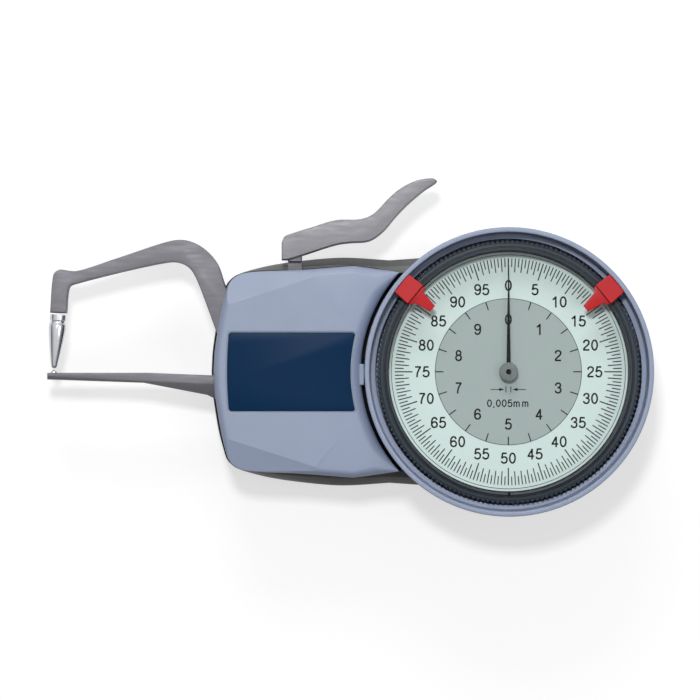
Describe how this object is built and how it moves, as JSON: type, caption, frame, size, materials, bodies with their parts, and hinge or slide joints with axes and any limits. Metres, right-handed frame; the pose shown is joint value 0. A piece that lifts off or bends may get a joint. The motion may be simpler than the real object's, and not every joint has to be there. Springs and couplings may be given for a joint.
{
  "type": "dial caliper gauge",
  "caption": "Lever caliper gauge with a fixed and a swinging curved arm, a thumb lever, a spring-closed gear movement and a turning dial with tolerance markers.",
  "frame": {"origin": "on the dial's axis, on the flat back of the rear shell", "axes": "+X from the contacts to the dial, +Y from the fixed arm to the lift lever, +Z out through the crystal"},
  "size_m": [0.1323, 0.0738, 0.0272],
  "materials": {
    "blue_paint": "satin blue-grey enamel",
    "dark_paint": "satin dark grey enamel",
    "plate_blue": "dark blue printed plate, bare of text",
    "grey_steel": "satin grey",
    "steel": "bright",
    "hard_chrome": "polished",
    "brass": "satin",
    "black_plastic": "satin black",
    "dial_grey": "matt printed",
    "clear": "clear",
    "red_plastic": "satin red",
    "black_metal": "satin black"
  },
  "bodies": {
    "case": {"rear_shell": "dark_paint", "front_shell": "blue_paint", "name_plate": "plate_blue", "dial_case": "blue_paint", "base_plate": "black_metal", "fixed_arm": "grey_steel", "fixed_anvil": "hard_chrome", "fixed_arm_screw_1": "steel", "fixed_arm_screw_2": "steel", "housing_screw_1": "steel", "housing_screw_2": "steel", "housing_screw_3": "steel", "housing_screw_4": "steel", "case_screw_1": "steel", "case_screw_2": "steel", "case_screw_3": "steel", "bridge_pillar_1": "brass", "bridge_pillar_2": "brass", "bridge_pillar_3": "brass", "movement_bridge": "brass", "bridge_screw_1": "steel", "bridge_screw_2": "steel", "bridge_screw_3": "steel", "base_screw_1": "steel", "base_screw_2": "steel", "base_screw_3": "steel", "pivot_bush_lower": "brass", "pivot_bush_upper": "brass", "spring_post": "steel", "hairspring_stud": "steel"},
    "moving_arm": {"moving_arm": "grey_steel", "contact_tip": "hard_chrome", "pivot_shaft": "steel", "sector_gear": "brass", "sector_screw_1": "steel", "sector_screw_2": "steel", "lift_lever": "grey_steel", "lever_screw": "steel", "spring_pin": "steel", "return_spring": "steel"},
    "transfer": {"transfer_pinion": "steel", "transfer_wheel": "brass", "counter_drive_wheel": "brass"},
    "centre": {"centre_pinion": "steel", "main_hand": "black_metal", "hand_hub": "black_metal"},
    "counter": {"counter_wheel": "brass", "counter_hand": "black_metal"},
    "take_up": {"take_up_wheel": "brass", "take_up_arbor": "steel", "hairspring": "steel"},
    "bezel": {"bezel": "black_plastic", "crystal": "clear", "crystal_seal": "black_plastic", "dial_plate": "dial_grey"},
    "marker_left": {"tolerance_marker_left": "red_plastic"},
    "marker_right": {"tolerance_marker_right": "red_plastic"}
  },
  "joints": [
    {"name": "arm_hinge", "type": "hinge", "parent": "case", "child": "moving_arm", "pos_m": [-0.04653, 0, 0], "axis": [0, 0, -1], "range_deg": [0, 10.85], "stiffness_Nm_per_rad": 0.15, "springref_deg": -20.05, "deforming": ["return_spring"]},
    {"name": "transfer_spin", "type": "hinge", "parent": "case", "child": "transfer", "pos_m": [-0.00566, 0.01253, 0], "axis": [0, 0, 1], "range_deg": [-5, 375]},
    {"name": "centre_spin", "type": "hinge", "parent": "case", "child": "centre", "pos_m": [0, 0, 0], "axis": [0, 0, -1], "range_deg": [-60, 3700]},
    {"name": "counter_spin", "type": "hinge", "parent": "case", "child": "counter", "pos_m": [0, 0, 0], "axis": [0, 0, -1], "range_deg": [-5, 375]},
    {"name": "take_up_spin", "type": "hinge", "parent": "case", "child": "take_up", "pos_m": [-0.00177, -0.00857, 0], "axis": [0, 0, 1], "range_deg": [-10, 620], "deforming": ["hairspring"]},
    {"name": "bezel_turn", "type": "hinge", "parent": "case", "child": "bezel", "pos_m": [0, 0, 0], "axis": [0, 0, 1], "continuous": true},
    {"name": "marker_left_turn", "type": "hinge", "parent": "bezel", "child": "marker_left", "pos_m": [0, 0, 0], "axis": [0, 0, 1], "range_deg": [-40, 120]},
    {"name": "marker_right_turn", "type": "hinge", "parent": "bezel", "child": "marker_right", "pos_m": [0, 0, 0], "axis": [0, 0, -1], "range_deg": [-40, 120]}
  ],
  "couplings": [
    {"joint": "transfer_spin", "follows": "arm_hinge", "ratio": 33.2},
    {"joint": "centre_spin", "follows": "arm_hinge", "ratio": 332},
    {"joint": "counter_spin", "follows": "arm_hinge", "ratio": 33.2},
    {"joint": "take_up_spin", "follows": "arm_hinge", "ratio": 55.333}
  ]
}
